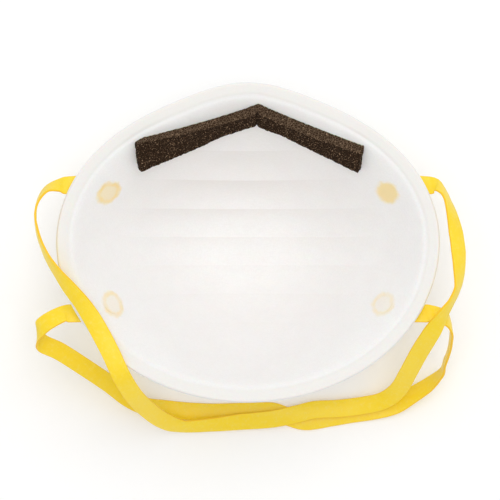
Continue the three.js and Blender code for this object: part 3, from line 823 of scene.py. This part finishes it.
class Recipe:
    """A new material with a Principled surface, and one way to add any other node."""

    def __init__(self, name, **constants):
        self.material = bpy.data.materials.new(name)
        self.material.use_nodes = True
        self.tree = self.material.node_tree
        self.surface = self.tree.nodes["Principled BSDF"]
        for socket, value in constants.items():
            self.surface.inputs[socket.replace("_", " ")].default_value = value

    def node(self, kind, settings=None, sockets=None, output=0):
        made = self.tree.nodes.new("ShaderNode" + kind)
        for key, value in (settings or {}).items():
            if key == "stops":
                self.set_stops(made.color_ramp, value)
            else:
                setattr(made, key, value)
        for key, value in (sockets or {}).items():
            self.feed(made.inputs[key], value)
        return Value(self, made.outputs[output])

    def set_stops(self, ramp, stops):
        while len(ramp.elements) < len(stops):
            ramp.elements.new(0.5)
        for element, (position, colour) in zip(ramp.elements, stops):
            element.position = position
            element.color = colour

    def feed(self, socket, value):
        if isinstance(value, Value):
            self.tree.links.new(value.socket, socket)
        else:
            socket.default_value = value

    def sum(self, operation, a, b=0.0):
        return self.node("Math", {"operation": operation}, {0: a, 1: b})

    def vector(self, operation, a, b=(0, 0, 0), output=0):
        return self.node("VectorMath", {"operation": operation}, {0: a, 1: b}, output)

    def mix(self, share, a, b):
        return self.node("Mix", {"data_type": "RGBA"}, {0: share, 6: a, 7: b}, 2)

    def place(self):
        """Where a point is on the piece, in metres."""
        return self.node("TexCoord", output="Object")

    def grain(self, place, size, detail=2.0, roughness=0.5, distortion=0.0):
        """Noise whose features are about this size, in metres."""
        sockets = {"Vector": place, "Scale": 1 / size, "Detail": detail, "Roughness": roughness,
                   "Distortion": distortion}
        return self.node("TexNoise", {"noise_dimensions": "3D"}, sockets)

    def cells(self, place, size, feature="F1", output="Distance"):
        return self.node("TexVoronoi", {"feature": feature}, {"Vector": place, "Scale": 1 / size}, output)

    def remembered(self, attribute):
        """A number that each point of the mesh carries."""
        return self.node("Attribute", {"attribute_name": attribute}, output="Fac")

    def between(self, value, low, high):
        """0 below low, 1 above high, smooth between."""
        sockets = {0: value, 1: low, 2: high}
        return self.node("MapRange", {"interpolation_type": "SMOOTHSTEP"}, sockets)

    def raise_by(self, height, distance, strength=1.0):
        """Feed a height pattern, in its own units, to the surface's normal."""
        sockets = {"Height": height, "Distance": distance, "Strength": strength}
        self.set("Normal", self.node("Bump", None, sockets))

    def set(self, socket, value):
        self.feed(self.surface.inputs[socket], value)

    def give(self, *pieces):
        for piece in pieces:
            piece.data.materials.clear()
            piece.data.materials.append(self.material)


def rgb(red, green, blue):
    """A colour given in display numbers from 0 to 255."""
    def linear(c):
        c /= 255
        return c / 12.92 if c <= 0.04045 else ((c + 0.055) / 1.055) ** 2.4
    return (linear(red), linear(green), linear(blue), 1.0)


# %% [markdown]
# ## Felt of the shell, with the weld stains
# Moulded polyester felt is matt, slightly warm and cloudy, with short fibres lying every way. Round a
# weld the melted fibres turn clear and the yellow strap behind them tints the felt, strongest in a
# ring where the horn pressed hardest. The same stain is used on the felt and on the weld itself.

# %% Stains at the welds
STRAP_GLOW = rgb(255, 212, 76)
# per weld: radii of the stained ring in mm, its tilt, strength of the ring and of the middle
STAINS = {
    "upper_left": (4.5, 3.6, 32, 0.74, 0.40),
    "upper_right": (4.4, 4.0, -15, 0.66, 0.62),
    "lower_left": (4.6, 3.4, -70, 0.50, 0.14),
    "lower_right": (4.2, 4.0, 45, 0.34, 0.12),
}


def weld_stain(recipe, place):
    """How strongly the strap shines through, 0 to 1, over all four welds."""
    wobble = recipe.grain(place, 2.6 * MM, 3.0, 0.6) * 0.5 - 0.25
    patches = recipe.between(recipe.grain(place, 3.1 * MM, 2.0), 0.35, 0.65) * 0.5 + 0.6
    total = None
    for name, angle, side in WELDS:
        long_radius, short_radius, tilt, ring, middle = STAINS[name]
        centre = Vector(cup_point(cheek_angle(angle, side), WELD_INSET, SHELL_FACES[1]))
        turned = recipe.node(
            "Mapping",
            {"vector_type": "TEXTURE"},
            {"Vector": place, "Location": centre, "Rotation": (0, 0, math.radians(tilt)),
             "Scale": (long_radius * MM, short_radius * MM, 6 * MM)},
        )
        away = recipe.vector("LENGTH", turned, output="Value") + wobble
        rim = recipe.between(away, 0.55, 0.85) * (1 - recipe.between(away, 0.95, 1.25))
        inside = 1 - recipe.between(away, 0.7, 1.2)
        stain = rim * (ring - middle) * patches + inside * middle
        total = stain if total is None else total + stain
    return total


# %% Painted shade under each rib
def painted_rib_shade(recipe, place):
    """Painted shade, darkest just below each ridge and strongest in the upper middle of the cup."""
    y = recipe.node("SeparateXYZ", None, {"Vector": place}, "Y")
    x = recipe.node("SeparateXYZ", None, {"Vector": place}, "X")
    below = 1 - recipe.sum("FRACT", (y * -1 + RIB_LINE) * (1 / RIB_PITCH) + 20)
    from_centre = recipe.vector("LENGTH", recipe.vector("MULTIPLY", recipe.vector(
        "ADD", place, (6 * MM, -21 * MM, 0)), (1 / (30 * MM), 1 / (24 * MM), 0)), output="Value")
    middle = 1 - recipe.between(from_centre, 0.1, 1.3)
    half_field = recipe.vector("LENGTH", recipe.vector(
        "MULTIPLY", recipe.vector("ADD", place, (0, -2 * MM, 0)),
        (1 / RIB_REACH[0], 1 / RIB_REACH[1], 0)), output="Value")
    field = 1 - recipe.between(half_field, 0.75, 1.1)
    return below * below * field * (middle * 0.24 + 0.08)


# %% Felt for the shell and the welds, with painted shade on the ribs and the edge band
def felt(name, colour, cloudy, fibre_height, stained_and_shaded):
    """Matt nonwoven with clouds in its colour and crossed fibres in its surface."""
    recipe = Recipe(name, Roughness=0.92, Sheen_Weight=0.25, Sheen_Roughness=0.6,
                    Subsurface_Weight=0.12, Subsurface_Scale=0.004)
    place = recipe.place()
    clouds = recipe.grain(place, 9 * MM, 4.0, 0.6)
    stretched = recipe.vector("MULTIPLY", place, (1.0, 0.28, 1.0))
    crossed = recipe.vector("MULTIPLY", place, (0.28, 1.0, 1.0))
    fibres = recipe.grain(stretched, 0.34 * MM, 3.0, 0.65, 0.8) + recipe.grain(crossed, 0.38 * MM, 3.0, 0.65, 0.8)
    lumps = recipe.grain(place, 1.7 * MM, 3.0, 0.55)
    base = recipe.mix(clouds, colour, cloudy)
    tint = recipe.mix(recipe.between(fibres, 0.75, 1.25) * 0.12, base, rgb(206, 199, 192))
    if stained_and_shaded:
        # painted shade on the pressed edge band round the mask's edge
        tint = recipe.mix(recipe.remembered("pressed") * 0.6, tint, rgb(240, 234, 228))
        # painted shade below each rib and in the upper middle of the cup
        tint = recipe.mix(painted_rib_shade(recipe, place), tint, rgb(214, 206, 200))
        stain = weld_stain(recipe, place)
        tint = recipe.mix(stain, tint, STRAP_GLOW)
        recipe.set("Roughness", 0.92 - stain * 0.35)
    recipe.set("Base Color", tint)
    recipe.raise_by(fibres * 0.5 + lumps * 0.9, fibre_height, 0.55)
    return recipe


shell_felt = felt("moulded_felt", rgb(251, 247, 246), rgb(246, 241, 239), 0.10 * MM, True)
shell_felt.give(inner_shell)
weld_felt = felt("fused_felt", rgb(247, 244, 240), rgb(240, 236, 230), 0.06 * MM, True)
weld_felt.give(*[bpy.data.objects[f"weld_spot_{name}"] for name, _, _ in WELDS])
filter_felt = felt("melt_blown", rgb(244, 244, 243), rgb(236, 236, 236), 0.05 * MM, False)
filter_felt.give(filter_web)

# %% [markdown]
# ## Spunbond cover
# The outer web is thin spunbond: long fine threads, held by rows of tiny bond points that a hot
# roller pressed in. The points are dimples, a little smoother than the threads between them.

# %% Cover web with bond points
cover = Recipe("spunbond", Roughness=0.85, Sheen_Weight=0.2, Subsurface_Weight=0.08, Subsurface_Scale=0.003)
where = cover.place()
bonds = cover.cells(where, 1.25 * MM)
dimples = cover.between(bonds, 0.12, 0.34)
threads = cover.grain(cover.vector("MULTIPLY", where, (1.0, 0.2, 1.0)), 0.3 * MM, 4.0, 0.7, 1.2)
drift = cover.grain(where, 11 * MM, 4.0, 0.6)
cloth = cover.mix(drift, rgb(247, 246, 244), rgb(238, 237, 235))
cover.set("Base Color", cover.mix((1 - dimples) * 0.35, cloth, rgb(222, 221, 219)))
cover.set("Roughness", dimples * 0.25 + 0.62)
cover.raise_by(dimples * 0.8 + threads * 0.5, 0.08 * MM, 0.7)
cover.give(outer_cover)

# %% [markdown]
# ## Open-cell foam
# The foam is dark brown. Cells of about half a millimetre are dark pits, painted shade in the open
# cells; their walls are lighter, with painted glints (painted highlights) where the knife cut them,
# and the cut edge towards the mask's rim is painted lighter again, as light on the face turned to the lamp.

# %% Foam with open cells
foam = Recipe("open_cell_foam", Roughness=0.95, Specular_IOR_Level=0.12)
where = foam.place()
warped = foam.vector("ADD", where, foam.vector("MULTIPLY", foam.node(
    "TexNoise", None, {"Vector": where, "Scale": 1 / (1.2 * MM), "Detail": 2.0}, "Color"), (0.4 * MM,) * 3))
walls = foam.cells(warped, 0.80 * MM, "DISTANCE_TO_EDGE")
pits = foam.between(walls, 0.01, 0.16)
# painted glints: light specks standing for highlights on the cut cell walls
painted_glints = foam.between(foam.grain(where, 0.55 * MM, 2.0, 0.7), 0.54, 0.66)
shade = foam.grain(where, 6 * MM, 3.0, 0.6)
dark = foam.mix(shade, rgb(34, 22, 12), rgb(48, 33, 20))
wall_colour = foam.mix(painted_glints, rgb(66, 47, 31), rgb(180, 150, 120))
# the dark cell middles are painted shade in the open cells
cells = foam.mix(pits, wall_colour, dark)
# painted light: the edge towards the mask's rim, which faces the lamp, is made lighter
edge_light = foam.remembered("cut_edge")
foam.set("Base Color", foam.mix(edge_light * 0.28, cells, foam.mix(pits, rgb(176, 150, 124), rgb(96, 74, 54))))
foam.raise_by((1 - pits) * 1.0 + foam.grain(where, 0.5 * MM, 3.0) * 0.5, 0.30 * MM, 0.9)
foam.give(nose_foam)

# %% [markdown]
# ## Elastic band
# The band is extruded elastomer: strong yellow, satin, a little clear, so its lit parts go pale. It
# carries fine lines along its length, a trace of dusting powder, and cut edges of a deeper amber.

# %% Band with lines, powder and amber edges
band = Recipe("elastic_band", Roughness=0.42, Subsurface_Weight=0.05, Subsurface_Scale=0.002,
              Specular_IOR_Level=0.35)
band.surface.inputs["Subsurface Radius"].default_value = (1.0, 0.6, 0.1)
along = band.remembered("along")
across = band.remembered("across")
on_band = band.node("CombineXYZ", None, {"X": along, "Y": across * (STRAP_WIDTH / 2)})
lines = band.grain(band.vector("MULTIPLY", on_band, (0.02, 1.0, 1.0)), 0.16 * MM, 2.0, 0.6)
powder = band.between(band.grain(on_band, 1.6 * MM, 5.0, 0.7), 0.45, 0.75)
slow = band.grain(on_band, 14 * MM, 2.0, 0.5)
middle_band = band.mix(slow, rgb(255, 217, 24), rgb(255, 224, 58))
dusted = band.mix(powder * 0.30, middle_band, rgb(255, 236, 140))
rim = band.between(band.sum("ABSOLUTE", across), 0.93, 0.99)
band.set("Base Color", band.mix(rim * 0.7, dusted, rgb(250, 190, 20)))
band.set("Roughness", powder * 0.16 + 0.38)
band.raise_by(lines + powder * 0.4, 0.025 * MM, 0.6)
band.give(head_loop, head_left, head_right, neck_loop, neck_left, neck_right)

# %% [markdown]
# ## Clip and adhesive
# The clip is rolled aluminium, dull along its rolling direction. The adhesive is a milky hot melt.

# %% Clip metal and hot melt
metal = Recipe("rolled_aluminium", Metallic=1.0, Roughness=0.36)
where = metal.place()
rolled = metal.grain(metal.vector("MULTIPLY", where, (0.04, 1.0, 1.0)), 0.2 * MM, 3.0, 0.6)
metal.set("Base Color", metal.mix(rolled, rgb(196, 198, 201), rgb(222, 223, 225)))
metal.set("Roughness", rolled * 0.2 + 0.28)
metal.raise_by(rolled, 0.02 * MM, 0.5)
metal.give(nose_clip)

melt = Recipe("hot_melt", Roughness=0.35, Subsurface_Weight=0.3, Subsurface_Scale=0.002)
where = melt.place()
milky = melt.grain(where, 4 * MM, 4.0, 0.6)
melt.set("Base Color", melt.mix(milky, rgb(232, 224, 204), rgb(244, 240, 228)))
melt.set("Roughness", milky * 0.25 + 0.25)
melt.raise_by(melt.grain(where, 1.5 * MM, 3.0), 0.06 * MM, 0.6)
melt.give(clip_film, foam_film)

# %% [markdown]
# ## Floor and light
# The mask lies on a plain, very pale table. One large soft light stands at the nose side, so the nose
# wall is in gentle shade and the chin wall is brightest, and a second, equal one shines from above.

# %% Set the table and the lamps
deselect()
bpy.ops.mesh.primitive_plane_add(size=6)
floor = named("table")
table = Recipe("pale_table", Roughness=0.9)
where = table.place()
mottle = table.grain(where, 0.25, 3.0)
table.set("Base Color", table.mix(mottle, rgb(250, 250, 250), rgb(253, 253, 253)))
table.surface.inputs["Emission Color"].default_value = (1, 1, 1, 1)
table.surface.inputs["Emission Strength"].default_value = 0.05
table.give(floor)


def soft_light(name, place, size, power, aim=(0, 0, 0.03)):
    """A square area light that looks at the mask."""
    lamp = bpy.data.lights.new(name, "AREA")
    lamp.size, lamp.energy = size, power
    light = bpy.data.objects.new(name, lamp)
    bpy.context.scene.collection.objects.link(light)
    light.location = place
    light.rotation_euler = (Vector(aim) - Vector(place)).to_track_quat("-Z", "Y").to_euler()
    return light


soft_light("key", (0.15, 0.60, 1.00), 0.7, 2.6)
soft_light("front", (0.0, 0.0, 1.15), 0.6, 2.6)
world = bpy.context.scene.world or bpy.data.worlds.new("studio")
bpy.context.scene.world = world
world.use_nodes = True
sky = world.node_tree.nodes["Background"]
sky.inputs["Color"].default_value = (1, 1, 1, 1)
sky.inputs["Strength"].default_value = 0.70
bpy.context.scene.view_settings.view_transform = "Standard"
